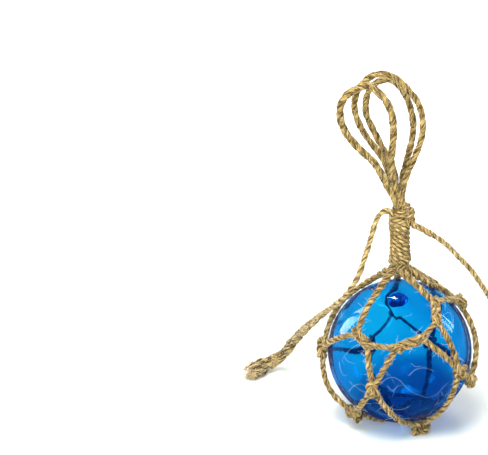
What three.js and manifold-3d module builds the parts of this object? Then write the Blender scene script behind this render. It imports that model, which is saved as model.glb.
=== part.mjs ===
// Glass float ball: a sealed hand-blown glass ball in a knotted jute net, with a whipped neck,
// three hanging loops and two free tails. Millimetres, +Z up, the origin on the table under the
// middle of the ball. Azimuth 0 is the front (-Y) and grows towards the right (+X).
import * as THREE from "three";
import { mergeVertices } from "three/addons/utils/BufferGeometryUtils.js";
import Module from "manifold-3d";

// Glass
const BALL_DIAMETER = 76;
const BALL_CLEARANCE = 2.4; // table to the lowest point of the glass

// Net
const NET_CORD_DIAMETER = 2.8;
const FIT_GAP = 0.3; // between any two pieces that touch
const DOUBLED_CORD_DIAMETER = 3.9; // of two cords that run side by side
const SLIM_KNOT = { length: 8.5, width: 5.2, thickness: 4.2 };
const FULL_KNOT = { length: 9, width: 7, thickness: 5.4 };
const FOOT_KNOT = { length: 9.6, width: 7.4, thickness: 7.4 };
const KNOT_TURN_PROUD = 0.5; // of the turn of cord round a knot, beyond its lump
const STRAND_STEP = 10.5; // length of a strand's straight pieces
const CLOSING_KNOT_DIAMETER = 12;
const NECK_BUNDLE_RADIUS = 3.1; // of the ring on which the six net strands leave the whipping
const NECK_STRAIGHT = 2.2; // that much of each strand runs straight down out of the whipping

// Whipping
const NECK_HEIGHT = 11.1; // glass pole to the whipping's lower end
const NECK_SHIFT = -1.2; // the neck stands this far off the ball's axis
const NECK_LEAN_DEG = 2.2; // and leans this much to the left
const WHIPPING_DIAMETER = 10.6;
const WHIPPING_CORD_DIAMETER = 2.45;
const WHIPPING_TURNS = 9;
const BAND_HEIGHT = 9.4; // of the crossed finishing turns above the whipping
const BAND_DIAMETER = 9.6;
const BAND_TILT_DEG = 38;
const FINISHING_KNOT_LENGTH = 9.5;
const FINISHING_KNOT_WIDTH = 5.6;

// Free cords
const LOOP_CORD_DIAMETER = 3.1;
const TAIL_CORD_DIAMETER = 2.7;
const FRAYED_END_LENGTH = 15;
const FRAYED_END_WIDTH = 9.5;
const FRAYED_END_FLATNESS = 0.8; // its height, as a part of its width
const TAIL_KNOT_DIAMETER = 6.6;
const TAIL_KNOT_TUFT_LENGTH = 6;

const ballRadius = BALL_DIAMETER / 2;
const ballCentre = new THREE.Vector3(0, 0, BALL_CLEARANCE + ballRadius);
const cordRadius = NET_CORD_DIAMETER / 2;
const lieRadius = ballRadius + FIT_GAP + cordRadius; // of a net cord's centreline on the glass
const neckBottom = ballCentre.z + ballRadius + NECK_HEIGHT;
const whippingLength = WHIPPING_TURNS * WHIPPING_CORD_DIAMETER;
const neckLean = THREE.MathUtils.degToRad(NECK_LEAN_DEG);
const neckTopHeight = whippingLength + BAND_HEIGHT; // along the neck

// Each knot of the net: azimuth and latitude on the ball in degrees, the way that it lies, in degrees
// from straight down towards the right, and its size. A slim one is a half hitch along two cords.
const KNOTS = {
  shoulder_left: { at: [-39.5, 29.5], lie: 40, size: SLIM_KNOT },
  shoulder_left_low: { at: [-26.5, 24], lie: 55, size: SLIM_KNOT },
  brow_left: { at: [-3, 24], lie: 80, size: SLIM_KNOT },
  brow_right: { at: [19, 31], lie: 95, size: SLIM_KNOT },
  shoulder_right_high: { at: [52, 56.5], lie: -30, size: SLIM_KNOT },
  shoulder_right: { at: [39, 42.5], lie: -30, size: SLIM_KNOT },
  side_right: { at: [106, 38], lie: 60, size: FULL_KNOT },
  side_left: { at: [-87, 0], lie: 5, size: FULL_KNOT },
  front: { at: [-19, -9], lie: 12, size: FULL_KNOT },
  cheek_right: { at: [51, -1], lie: 40, size: FULL_KNOT },
  cheek_right_outer: { at: [73, -15], lie: 45, size: FULL_KNOT },
  shoulder_back: { at: [148, 36], lie: 30, size: SLIM_KNOT },
  back_high: { at: [-175, 10], lie: 0, size: FULL_KNOT },
  back_right: { at: [154, -15], lie: 20, size: FULL_KNOT },
  back_left: { at: [-154, -22], lie: 0, size: FULL_KNOT },
  foot_front: { at: [39.5, -62], lie: 80, size: FOOT_KNOT },
  side_low_left: { at: [-58, -49], lie: 75, size: FULL_KNOT },
  foot_right: { at: [125, -62], lie: 85, size: FOOT_KNOT },
  foot_left: { at: [-145, -62], lie: 95, size: FOOT_KNOT },
};

// The six strands that leave the whipping: where they start round the neck, the knot that they run
// to, how far their middle stands off the glass, and the places that they pass on the way.
const NECK_STRANDS = [
  { from: -75, to: "shoulder_left", off: 0, via: [[-46, 59]] },
  { from: 0, to: "shoulder_right_high", off: 0, via: [] },
  { from: 60, to: "side_right", off: 1, via: [] },
  { from: 112, to: "shoulder_back", off: 0.6, via: [[124, 58]] },
  { from: 185, to: "back_high", off: 0, via: [] },
  { from: 240, to: "side_left", off: 0.4, via: [[-122, 58], [-104, 38]] },
];

// The strands between two knots, with how far their middle stands off the glass.
const STRANDS = [
  ["shoulder_left", "side_left", 0.4],
  ["shoulder_left_low", "front", 0],
  ["shoulder_left_low", "brow_left", 0],
  ["brow_left", "front", 0],
  ["brow_right", "shoulder_right", 0],
  ["brow_right", "cheek_right", 0],
  ["shoulder_right", "cheek_right", 0],
  ["shoulder_right_high", "side_right", 0.6],
  ["side_right", "cheek_right_outer", 0.8],
  ["side_right", "shoulder_back", 0],
  ["cheek_right", "cheek_right_outer", 0],
  ["front", "side_low_left", 0],
  ["front", "foot_front", 0],
  ["cheek_right", "foot_front", 0],
  ["side_left", "side_low_left", 2.6],
  ["side_left", "back_left", 0],
  ["back_high", "back_right", 0],
  ["back_high", "back_left", 0],
  ["shoulder_back", "back_right", 0],
  ["back_right", "cheek_right_outer", 0],
  ["back_right", "foot_right", 0],
  ["back_left", "foot_left", 0],
  ["side_low_left", "foot_left", 0],
  ["foot_front", "foot_right", 0],
  ["foot_right", "foot_left", 0],
];

// Where two cords run side by side between two half hitches.
const DOUBLED_STRANDS = [
  ["shoulder_left", "shoulder_left_low"],
  ["brow_left", "brow_right"],
  ["shoulder_right_high", "shoulder_right"],
];

// The knots whose strands run on to the closing knot under the ball.
const CLOSING_STRANDS = ["foot_front", "side_low_left", "foot_right", "foot_left"];

// The hanging loops, measured from the middle of the neck's top. Each leaves the whipping with one
// leg and goes back into it with the other.
const LOOP_ROUTES = {
  hanging_loop_front: [
    [-1.6, -3.3, 0], [-1.7, -3.3, 2.2], [-3.6, -3.5, 6.6], [-6.8, -4.2, 12], [-9.6, -5.2, 18],
    [-14.0, -6.6, 25], [-21.0, -8.6, 32], [-27.6, -10.6, 39.6], [-31.0, -12.2, 47.4], [-31.4, -13, 55.2],
    [-28.6, -13.2, 60.6], [-22.8, -12.8, 64.6], [-17.2, -12, 66], [-13.0, -11, 63],
    [-8.6, -10, 58.2], [-5.4, -9, 51], [-4.2, -7.8, 41.6], [-4.6, -6.6, 32.4], [-5.0, -5.4, 24],
    [-3.6, -4.2, 15], [-0.6, -3.6, 7.8], [1.4, -3.3, 2.2], [1.5, -3.3, 0],
  ],
  hanging_loop_middle: [
    [-1.6, 0, 0], [-1.7, 0, 2.2], [-3.2, 0, 7], [-4.8, 0, 13], [-7.0, 0, 20], [-10.4, 0, 26.6],
    [-15.0, 0, 32.6], [-20.4, 0, 40.4], [-23.4, -0.3, 47.4], [-24.4, -0.6, 54.2], [-22.8, -0.8, 60.4],
    [-19.0, -1, 66], [-13.6, -1, 69.2], [-7.6, -0.9, 69.2], [-2.2, -0.7, 66.2], [3.6, -0.4, 60.8],
    [8.4, 0, 54.4], [11.0, 0, 45.6], [10.8, 0, 36.2], [8.0, 0, 26.6], [4.8, 0, 17.4],
    [2.4, 0, 9], [1.4, 0, 2.2], [1.5, 0, 0],
  ],
  hanging_loop_back: [
    [-1.6, 3.3, 0], [-1.7, 3.3, 2.2], [-2.3, 3.5, 7], [-2.6, 4.2, 13.6], [-4.0, 5, 19],
    [-8.0, 6, 26], [-11.4, 7, 32], [-15.8, 8, 40], [-18.6, 9, 46.6], [-18.6, 10, 54], [-16.4, 10.4, 59.6], [-12.2, 10, 63.2],
    [-7.6, 9.4, 64.2], [-3.0, 8.8, 62], [1.6, 8.2, 56.4], [4.6, 7.6, 48.6], [6.2, 7, 41.6],
    [5.6, 6.4, 32.2], [4.0, 5.4, 24], [2.2, 4.4, 15], [1.6, 3.6, 7], [1.4, 3.3, 2.2], [1.5, 3.3, 0],
  ],
};

// The tails, on the table's frame: from the neck, against the net's left side, and down to the table.
const LEFT_TAIL_ROUTE = [
  [-7.4, -2, 118.9], [-10.0, -3, 118.9], [-12.9, -4.4, 116.8], [-14.6, -6.2, 113],
  [-16.0, -8.4, 108], [-18.0, -11.4, 101], [-20.0, -14, 94.6], [-21.6, -15.6, 89.4],
  [-24.2, -16.4, 84], [-27.0, -16, 79], [-29.8, -14, 74.6], [-33.4, -9, 69.4], [-39.6, 0.4, 60.6],
  [-46.0, 14, 50], [-52.8, 28, 38.2], [-59.4, 42.6, 25.4], [-63.8, 51.7, 16], [-67.0, 55.6, 11],
  [-69.7, 57.4, 7.6], [-72.3, 58, 5.4], [-75.1, 56.6, 4.2], [-77.4, 54.4, 3.8], [-78.6, 52.4, 3.8],
];
const RIGHT_TAIL_ROUTE = [
  [4.3, -1, 111], [7.2, -1.5, 110.2], [11.2, -2, 108.6], [15.5, -3, 106.6], [21.9, -4, 102.4],
  [28.4, -5, 96.4], [34.9, -6, 89.8], [41.5, -7, 81.2], [47.4, -7.8, 72], [53.0, -8.6, 61],
  [58.2, -9.4, 49], [63.0, -10, 36.4], [67.4, -10.2, 24], [71.6, -9.8, 13], [76.2, -8.6, 5.2],
  [82.0, -6.6, 1.8], [88.0, -4.4, 1.6],
];

const glassMaterial = new THREE.MeshStandardMaterial({
  color: 0x0a6fd6, roughness: 0.04, metalness: 0, transparent: true, opacity: 0.5,
});
const juteMaterial = new THREE.MeshStandardMaterial({ color: 0xb08d4f, roughness: 0.92, metalness: 0 });

const wasm = await Module();
wasm.setup();

function solid(geometry) {
  const bare = geometry.clone();
  bare.deleteAttribute("normal");
  bare.deleteAttribute("uv");
  const merged = mergeVertices(bare, 1e-3);
  return new wasm.Manifold(new wasm.Mesh({
    numProp: 3,
    vertProperties: new Float32Array(merged.attributes.position.array),
    triVerts: new Uint32Array(merged.index.array),
  }));
}

function joined(geometries) {
  return geometries.map(solid).reduce((whole, piece) => whole.add(piece));
}

function geometryOf(made) {
  const mesh = made.getMesh();
  const geometry = new THREE.BufferGeometry();
  geometry.setAttribute("position", new THREE.BufferAttribute(mesh.vertProperties, 3));
  geometry.setIndex(new THREE.BufferAttribute(mesh.triVerts, 1));
  geometry.computeVertexNormals();
  return geometry;
}

function namedMesh(name, geometry, material) {
  const mesh = new THREE.Mesh(geometry, material);
  mesh.name = name;
  return mesh;
}

const point = ([x, y, z]) => new THREE.Vector3(x, y, z);

// A cord along a smooth line through the points, with flat ends square to it.
function cordAlong(points, diameter, steps, sides) {
  const section = new THREE.Shape();
  for (let i = 0; i < sides; i += 1) {
    const turn = (2 * Math.PI * i) / sides;
    const place = [Math.cos(turn) * diameter / 2, Math.sin(turn) * diameter / 2];
    if (i === 0) section.moveTo(...place);
    else section.lineTo(...place);
  }
  const path = new THREE.CatmullRomCurve3(points, false, "centripetal");
  return new THREE.ExtrudeGeometry(section, { steps, bevelEnabled: false, extrudePath: path });
}

// The point of the ball's frame at an azimuth, a latitude and a distance from the ball's centre.
function onBall(azimuth, latitude, distance) {
  const a = THREE.MathUtils.degToRad(azimuth);
  const l = THREE.MathUtils.degToRad(latitude);
  return new THREE.Vector3(Math.cos(l) * Math.sin(a), -Math.cos(l) * Math.cos(a), Math.sin(l))
    .multiplyScalar(distance)
    .add(ballCentre);
}

const knotPlace = (name, distance) => onBall(...KNOTS[name].at, distance);

// The places of a cord drawn from one point to another over the glass: it runs straight where that
// clears the glass, lies on it elsewhere, and its middle stands off by a chosen amount.
function drape(from, to, off, radius) {
  const sag = STRAND_STEP ** 2 / (8 * ballRadius); // of the middle of a straight piece
  const lie = ballRadius + FIT_GAP + radius + sag / 2;
  const pieces = Math.max(2, Math.round(from.distanceTo(to) / STRAND_STEP));
  const points = [];
  for (let i = 0; i <= pieces; i += 1) {
    const t = i / pieces;
    const away = from.clone().lerp(to, t).sub(ballCentre);
    const reach = Math.max(away.length(), lie) + off * Math.sin(Math.PI * t);
    points.push(away.setLength(reach).add(ballCentre));
  }
  return points;
}

function strandGeometry(points, diameter) {
  return cordAlong(points, diameter, points.length - 1, 6);
}

// A knot is a swollen lump with one turn of cord round its middle, lying on the glass.
function knotGeometry({ at, lie, size }) {
  const { length, width, thickness } = size;
  const half = length / 2;
  const turn = width / 2;
  const lump = turn - KNOT_TURN_PROUD;
  const profile = [
    [0, -half], [0.7 * lump, -0.8 * half], [lump, -cordRadius], [turn, -0.5 * cordRadius],
    [turn, 0.5 * cordRadius], [lump, cordRadius], [0.7 * lump, 0.8 * half], [0, half],
  ].map(([out, far]) => new THREE.Vector2(out, far));
  const knot = new THREE.LatheGeometry(profile, 8);
  knot.scale(1, 1, thickness / width);
  const place = onBall(...at, ballRadius + FIT_GAP + thickness / 2);
  const outward = place.clone().sub(ballCentre).normalize();
  const right = new THREE.Vector3(0, 0, 1).cross(outward).normalize();
  const down = right.clone().cross(outward).normalize();
  const turned = THREE.MathUtils.degToRad(lie);
  const along = down.multiplyScalar(Math.cos(turned)).addScaledVector(right, Math.sin(turned));
  const across = along.clone().cross(outward);
  const basis = new THREE.Matrix4().makeBasis(across, along, outward).setPosition(place);
  return knot.applyMatrix4(basis);
}

function neckPoint(azimuth, radius, height) {
  const a = THREE.MathUtils.degToRad(azimuth);
  return new THREE.Vector3(
    NECK_SHIFT + Math.sin(a) * radius,
    -Math.cos(a) * radius,
    neckBottom - FIT_GAP + height,
  );
}

function makeGlassBall() {
  const geometry = new THREE.SphereGeometry(ballRadius, 30, 20);
  geometry.rotateX(Math.PI / 2);
  const ball = namedMesh("glass_ball", geometry, glassMaterial);
  ball.position.copy(ballCentre);
  return ball;
}

function makeNet() {
  const pieces = Object.values(KNOTS).map(knotGeometry);
  for (const { from, to, off, via } of NECK_STRANDS) {
    const points = [neckPoint(from, NECK_BUNDLE_RADIUS, 0)];
    const places = [
      neckPoint(from, NECK_BUNDLE_RADIUS, -NECK_STRAIGHT),
      ...via.map((place) => onBall(...place, lieRadius + off)),
      knotPlace(to, lieRadius),
    ];
    for (let i = 1; i < places.length; i += 1) {
      const draped = drape(places[i - 1], places[i], off / places.length, cordRadius);
      points.push(...draped.slice(0, -1));
    }
    points.push(places.at(-1));
    pieces.push(strandGeometry(points, NET_CORD_DIAMETER));
  }
  for (const [from, to, off] of STRANDS) {
    const ends = [from, to].map((name) => knotPlace(name, lieRadius));
    pieces.push(strandGeometry(drape(...ends, off, cordRadius), NET_CORD_DIAMETER));
  }
  for (const [from, to] of DOUBLED_STRANDS) {
    const radius = DOUBLED_CORD_DIAMETER / 2;
    const ends = [from, to].map((name) => knotPlace(name, ballRadius + FIT_GAP + radius));
    pieces.push(strandGeometry(drape(...ends, 0, radius), DOUBLED_CORD_DIAMETER));
  }
  const closingPlace = onBall(0, -90, lieRadius);
  for (const from of CLOSING_STRANDS) {
    const points = drape(knotPlace(from, lieRadius), closingPlace, 0, cordRadius);
    pieces.push(strandGeometry(points, NET_CORD_DIAMETER));
  }
  const closingHeight = BALL_CLEARANCE - FIT_GAP;
  const closing = new THREE.CylinderGeometry(
    CLOSING_KNOT_DIAMETER / 2, CLOSING_KNOT_DIAMETER / 2, 2 * closingHeight, 12,
  );
  closing.rotateX(Math.PI / 2);
  pieces.push(closing);
  const below = new THREE.BoxGeometry(4 * ballRadius, 4 * ballRadius, ballRadius);
  below.translate(0, 0, -ballRadius / 2);
  const net = joined(pieces).subtract(solid(below));
  return namedMesh("net", geometryOf(net), juteMaterial);
}

function makeWhipping() {
  const outer = WHIPPING_DIAMETER / 2;
  const groove = outer - WHIPPING_CORD_DIAMETER / 4;
  const profile = [new THREE.Vector2(0, 0)];
  for (let turn = 0; turn < WHIPPING_TURNS; turn += 1) {
    const low = turn * WHIPPING_CORD_DIAMETER;
    profile.push(new THREE.Vector2(groove, low));
    profile.push(new THREE.Vector2(outer, low + WHIPPING_CORD_DIAMETER / 2));
  }
  const band = BAND_DIAMETER / 2;
  profile.push(new THREE.Vector2(groove, whippingLength));
  profile.push(new THREE.Vector2(band - WHIPPING_CORD_DIAMETER / 3, whippingLength));
  profile.push(new THREE.Vector2(band - WHIPPING_CORD_DIAMETER / 3, neckTopHeight));
  profile.push(new THREE.Vector2(0, neckTopHeight));
  const core = new THREE.LatheGeometry(profile, 12);
  core.rotateX(Math.PI / 2);
  const tubeRadius = WHIPPING_CORD_DIAMETER / 2;
  const bandTilt = THREE.MathUtils.degToRad(BAND_TILT_DEG);
  const turnRise = (band - tubeRadius) * Math.sin(bandTilt);
  const crossings = [-1, 1].map((side) => {
    const turn = new THREE.TorusGeometry(band - tubeRadius, tubeRadius, 5, 10);
    turn.rotateY(side * bandTilt);
    turn.scale(1, 1, (BAND_HEIGHT - WHIPPING_CORD_DIAMETER) / (2 * turnRise));
    turn.translate(0, 0, whippingLength + BAND_HEIGHT / 2);
    return turn;
  });
  const knot = new THREE.SphereGeometry(0.5, 8, 8);
  knot.scale(FINISHING_KNOT_WIDTH, FINISHING_KNOT_WIDTH, FINISHING_KNOT_LENGTH);
  knot.translate(band, 0, whippingLength + BAND_HEIGHT / 2);
  const above = new THREE.BoxGeometry(4 * outer, 4 * outer, BAND_HEIGHT);
  above.translate(0, 0, neckTopHeight + BAND_HEIGHT / 2);
  const made = joined([core, ...crossings, knot]).subtract(solid(above));
  return namedMesh("whipping", geometryOf(made), juteMaterial);
}

// A frayed end: the plies of the cord opened into a tuft that lies on the table.
function makeLeftTailEnd() {
  const last = point(LEFT_TAIL_ROUTE.at(-1));
  const before = point(LEFT_TAIL_ROUTE.at(-2));
  const along = last.clone().sub(before).setZ(0).normalize();
  const profile = [
    [0, 0], [0.3, 0], [0.42, 0.16], [0.5, 0.42], [0.46, 0.7], [0.34, 0.9], [0, 1],
  ].map(([out, far]) => new THREE.Vector2(out * FRAYED_END_WIDTH, far * FRAYED_END_LENGTH));
  const tuft = new THREE.LatheGeometry(profile, 10);
  tuft.scale(1, 1, FRAYED_END_FLATNESS);
  const upright = new THREE.Vector3(0, 0, 1);
  const sideways = along.clone().cross(upright);
  const place = last.clone().addScaledVector(along, FIT_GAP);
  const basis = new THREE.Matrix4().makeBasis(sideways, along, upright).setPosition(place);
  return namedMesh("left_tail_end", tuft.applyMatrix4(basis), juteMaterial);
}

// An overhand knot with a short tuft beyond it.
function makeRightTailKnot() {
  const last = point(RIGHT_TAIL_ROUTE.at(-1));
  const before = point(RIGHT_TAIL_ROUTE.at(-2));
  const along = last.clone().sub(before).setZ(0).normalize();
  const half = TAIL_KNOT_DIAMETER / 2;
  const tuftRadius = TAIL_CORD_DIAMETER / 2;
  const profile = [
    [0, 0], [half * 0.6, 0], [half, half * 0.7], [half, half * 1.3], [half * 0.6, 2 * half],
    [tuftRadius, 2 * half + 0.5], [tuftRadius * 1.5, 2 * half + TAIL_KNOT_TUFT_LENGTH],
    [0, 2 * half + TAIL_KNOT_TUFT_LENGTH],
  ].map(([out, far]) => new THREE.Vector2(out, far));
  const knot = new THREE.LatheGeometry(profile, 10);
  const upright = new THREE.Vector3(0, 0, 1);
  const sideways = along.clone().cross(upright);
  const place = last.clone().addScaledVector(along, FIT_GAP).setZ(half);
  const basis = new THREE.Matrix4().makeBasis(sideways, along, upright).setPosition(place);
  return namedMesh("right_tail_knot", knot.applyMatrix4(basis), juteMaterial);
}

function makeTail(name, route, steps) {
  return namedMesh(name, cordAlong(route.map(point), TAIL_CORD_DIAMETER, steps, 8), juteMaterial);
}

const part = new THREE.Group();
part.add(makeGlassBall(), makeNet());

const neck = new THREE.Group();
neck.position.set(NECK_SHIFT, 0, neckBottom);
neck.rotation.y = -neckLean;
neck.add(makeWhipping());
part.add(neck);

const loops = new THREE.Group();
loops.position.set(
  NECK_SHIFT - neckTopHeight * Math.sin(neckLean),
  0,
  neckBottom + neckTopHeight * Math.cos(neckLean) + FIT_GAP,
);
for (const [name, route] of Object.entries(LOOP_ROUTES)) {
  loops.add(namedMesh(name, cordAlong(route.map(point), LOOP_CORD_DIAMETER, 24, 8), juteMaterial));
}
part.add(loops);

part.add(makeTail("left_tail", LEFT_TAIL_ROUTE, 22), makeLeftTailEnd());
part.add(makeTail("right_tail", RIGHT_TAIL_ROUTE, 18), makeRightTailKnot());

export default part;
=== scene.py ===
# %% [markdown]
# # A glass float ball in its net
# A float like this is a ball of blown glass, sealed with a lump of molten glass and tied into a
# net of jute twine. The net is gathered over the ball, bound with a close winding, and goes on
# above it as loops to hang the ball by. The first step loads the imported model, whose frame, in
# metres with Z up, every piece here keeps: the table is at Z = 0 and the ball stands over the
# origin.

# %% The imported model
import math

import bpy
import numpy as np
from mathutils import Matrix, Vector


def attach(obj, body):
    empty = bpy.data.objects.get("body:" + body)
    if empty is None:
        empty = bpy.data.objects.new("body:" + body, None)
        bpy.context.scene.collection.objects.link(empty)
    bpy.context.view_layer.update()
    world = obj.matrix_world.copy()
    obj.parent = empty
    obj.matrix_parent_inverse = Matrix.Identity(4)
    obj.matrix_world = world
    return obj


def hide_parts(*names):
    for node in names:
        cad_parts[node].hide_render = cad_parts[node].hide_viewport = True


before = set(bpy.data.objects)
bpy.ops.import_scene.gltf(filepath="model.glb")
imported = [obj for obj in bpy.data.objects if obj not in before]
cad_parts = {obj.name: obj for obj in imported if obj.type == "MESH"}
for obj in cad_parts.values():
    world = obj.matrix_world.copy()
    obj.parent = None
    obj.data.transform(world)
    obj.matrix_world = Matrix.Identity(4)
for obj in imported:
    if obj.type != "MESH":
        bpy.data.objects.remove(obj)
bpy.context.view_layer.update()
MM = 0.001

# %% [markdown]
# ## The camera
# The picture is 488 pixels wide and 455 high, and it was taken from slightly above with a long
# lens. The camera could be placed by eye. Here its place is worked out from four numbers instead:
# the pixel of the ball's middle, the distance, how steeply the camera looks down at the ball, and
# the focal length in pixels. The lens isn't shifted: the camera is turned until the ball is on
# its pixel.

# %% The camera's place
IMAGE_SIZE = (488, 455)  # pixels
BALL_PIXEL = (399.5, 350.4)  # of the ball's middle, from the top left
FOCAL_PIXELS = 1685
BALL_DISTANCE = 900 * MM
LOOK_DOWN = math.radians(23)
SENSOR_WIDTH = 36  # mm
BALL_RADIUS = 38 * MM
BALL_CENTRE = np.array([0, 0, 40.4]) * MM

right = BALL_PIXEL[0] - IMAGE_SIZE[0] / 2
down = BALL_PIXEL[1] - IMAGE_SIZE[1] / 2
ray = math.sqrt(FOCAL_PIXELS**2 + right**2 + down**2)
pitch = math.asin(ray * math.sin(LOOK_DOWN) / math.hypot(FOCAL_PIXELS, down))
pitch -= math.atan2(down, FOCAL_PIXELS)
turn = math.atan2(right, FOCAL_PIXELS * math.cos(pitch) - down * math.sin(pitch))
towards_ball = np.array([0, math.cos(LOOK_DOWN), -math.sin(LOOK_DOWN)])

lens = bpy.data.cameras.new("camera")
lens.sensor_width = SENSOR_WIDTH
lens.lens = FOCAL_PIXELS / IMAGE_SIZE[0] * SENSOR_WIDTH
camera = bpy.data.objects.new("camera", lens)
bpy.context.collection.objects.link(camera)
camera.location = BALL_CENTRE - BALL_DISTANCE * towards_ball
camera.rotation_euler = (math.pi / 2 - pitch, 0, turn)
bpy.context.scene.camera = camera
print(f"camera at {[round(c, 3) for c in camera.location]}, lens {lens.lens:.1f} mm")

# %% [markdown]
# ## The line of a cord
# A cord is drawn along a few chosen points. A smooth line through them is needed, with places at
# even steps, and at each place two directions square to it, so that a section can be drawn there.
# The directions are carried on from place to place without turning about the line: the only twist
# that shows is then the one that the plies are given.

# %% A smooth line through points
def smooth_line(points, step):
    """Places every step along a centripetal Catmull-Rom line through the points."""
    p = np.array(points, float)
    p = np.vstack([2 * p[0] - p[1], p, 2 * p[-1] - p[-2]])
    t = np.linspace(0, 1, 16, endpoint=False)[:, None]
    line = []
    for a, b, c, d in zip(p, p[1:], p[2:], p[3:]):
        ab, bc, cd = (max(np.linalg.norm(w - v), 1e-7) ** 0.5 for v, w in ((a, b), (b, c), (c, d)))
        leave = ((b - a) / ab - (c - a) / (ab + bc) + (c - b) / bc) * bc
        arrive = ((c - b) / bc - (d - b) / (bc + cd) + (d - c) / cd) * bc
        line.append(
            (2 * t**3 - 3 * t**2 + 1) * b + (t**3 - 2 * t**2 + t) * leave
            + (3 * t**2 - 2 * t**3) * c + (t**3 - t**2) * arrive
        )
    return even_line(np.vstack(line + [p[-2:-1]]), step)


def far_along(line):
    """How far along the line each of its places is."""
    return np.concatenate([[0], np.cumsum(np.linalg.norm(np.diff(line, axis=0), axis=1))])


def even_line(line, step):
    """The same line with places at even steps."""
    far = far_along(line)
    even = np.linspace(0, far[-1], max(3, round(far[-1] / step)) + 1)
    return np.column_stack([np.interp(even, far, line[:, i]) for i in range(3)])


def length_of(line):
    return float(np.linalg.norm(np.diff(line, axis=0), axis=1).sum())


# %% The directions across a line
def unit(v):
    return v / np.maximum(np.linalg.norm(v, axis=-1, keepdims=True), 1e-12)


def directions_across(line):
    """Two directions square to the line at each place, carried along it without twist."""
    along = unit(np.gradient(line, axis=0))
    side = np.empty_like(line)
    start = np.array([0.0, 0, 1]) if abs(along[0][2]) < 0.9 else np.array([1.0, 0, 0])
    last = np.cross(along[0], start)
    for i, tangent in enumerate(along):
        last = last - tangent * last.dot(tangent)
        last /= np.linalg.norm(last)
        side[i] = last
    return side, np.cross(along, side)


# %% [markdown]
# ## Laid cord
# Jute twine is two plies twisted about each other, each a soft bundle of fibres. A single tube
# with a bump in its material would look like a pipe, and its edge would be smooth. Each ply is a
# tube of its own here, wound round the cord's line: the groove between the plies, the wavy edge
# and the way they fill the groove are then real. The groove's dark colour is partly real shade and
# partly painted shade from the jute's colours. A ply is a little wider than it is thick, as it is
# pressed against the other, and its thickness wanders. Its texture runs along it: U goes once
# round the ply and V grows by 1 every 10 mm, so a fibre pattern follows the twist.

# %% Thickness that wanders
def wander(rng, far, wave):
    """A smooth random curve between about -1 and 1, with bends of about one wave length."""
    total = np.zeros_like(far)
    for share, scale in ((0.5, 1), (0.3, 0.47), (0.2, 0.21)):
        total += share * np.sin(2 * np.pi * far / (wave * scale) + rng.uniform(0, 2 * np.pi))
    return total


# %% A tube with rings of any shape
def wall_faces(rings, sides):
    """For the faces between the rings of a tube: their rings, their sides and their corners."""
    ring, side = np.meshgrid(np.arange(rings - 1), np.arange(sides), indexing="ij")
    after = (side + 1) % sides
    corners = [ring * sides + side, ring * sides + after,
               (ring + 1) * sides + after, (ring + 1) * sides + side]
    return ring, side, np.stack(corners, -1).reshape(-1, 4)


def tube_part(rings, far, shade):
    """The part of a closed tube through rings, an array of places by sides by 3, and its UVs."""
    count, sides = rings.shape[:2]
    ring, side, walls = wall_faces(count, sides)
    u = np.stack([side, side + 1, side + 1, side], -1) / sides
    v = far[np.stack([ring, ring, ring + 1, ring + 1], -1)] / (10 * MM) + shade
    wall_uvs = np.stack([u, v], -1).reshape(-1, 4, 2)
    steps = np.arange(sides // 2 - 1)
    cap = np.stack([steps, sides - 1 - steps, sides - 2 - steps, steps + 1], -1)
    last = (count - 1) * sides + cap[:, ::-1]
    cap_uvs = np.full((len(steps), 4, 2), (0.5, shade))
    faces = np.concatenate([walls, cap, last])
    return rings.reshape(-1, 3), faces, np.concatenate([wall_uvs, cap_uvs, cap_uvs])


# %% The plies of a cord
PLY_LAY = 3.0  # diameters along the cord for one turn of the plies
PLY_OUT, PLY_THICK, PLY_WIDE = 0.235, 0.30, 0.41  # diameters from the line, and half the section
PLY_SIDES = 8


def laid_cord(line, diameter, rng, lay=PLY_LAY, plies=2, opened=1.0, swell=1.0, loose=1.0):
    """Parts of the twisted plies along a line.

    opened and swell say how far they part and grow, and loose how uneven they are."""
    far = far_along(line)
    side, other = directions_across(line)
    twist = 2 * np.pi * far / (lay * diameter) + 0.35 * loose * wander(rng, far, 9 * diameter)
    start = rng.uniform(0, 2 * np.pi)
    around = 2 * np.pi * np.arange(PLY_SIDES) / PLY_SIDES + np.pi
    parts = []
    for ply in range(plies):
        turned = start + twist + 2 * np.pi * ply / plies
        out = np.cos(turned)[:, None] * side + np.sin(turned)[:, None] * other
        across = np.cos(turned)[:, None] * other - np.sin(turned)[:, None] * side
        size = diameter * swell * (1 + 0.08 * loose * wander(rng, far, 4.3 * diameter))
        centre = line + out * (PLY_OUT * size * opened)[:, None]
        lumps = 1 + 0.07 * np.stack([wander(rng, far, 2.1 * diameter) for _ in around], 1)
        thick = PLY_THICK * size[:, None] * np.cos(around) * lumps
        wide = PLY_WIDE * size[:, None] * np.sin(around) * lumps
        rings = (centre[:, None] + thick[..., None] * out[:, None]
                 + wide[..., None] * across[:, None])
        parts.append(tube_part(rings, far, rng.uniform(0, 60)))
    return parts


# %% One object from parts
ABOVE_TABLE = 0.02 * MM


def piece_from(name, parts, material):
    """A mesh object of the parts, with a UV map and smooth faces."""
    starts = np.cumsum([0] + [len(points) for points, _, _ in parts])[:-1]
    points = np.concatenate([points for points, _, _ in parts])
    points[:, 2] = np.maximum(points[:, 2], ABOVE_TABLE)
    faces = [face for start, (_, some, _) in zip(starts, parts) for face in (some + start).tolist()]
    uvs = np.concatenate([uvs.reshape(-1, 2) for _, _, uvs in parts])
    mesh = bpy.data.meshes.new(name)
    mesh.from_pydata(points.tolist(), [], faces)
    mesh.uv_layers.new(name="along_cord").data.foreach_set("uv", uvs.ravel())
    mesh.polygons.foreach_set("use_smooth", np.ones(len(faces), bool))
    mesh.materials.append(material)
    mesh.update()
    piece = bpy.data.objects.new(name, mesh)
    bpy.context.collection.objects.link(piece)
    print(f"{name}: {2 * len(faces)} triangles")
    return piece


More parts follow.
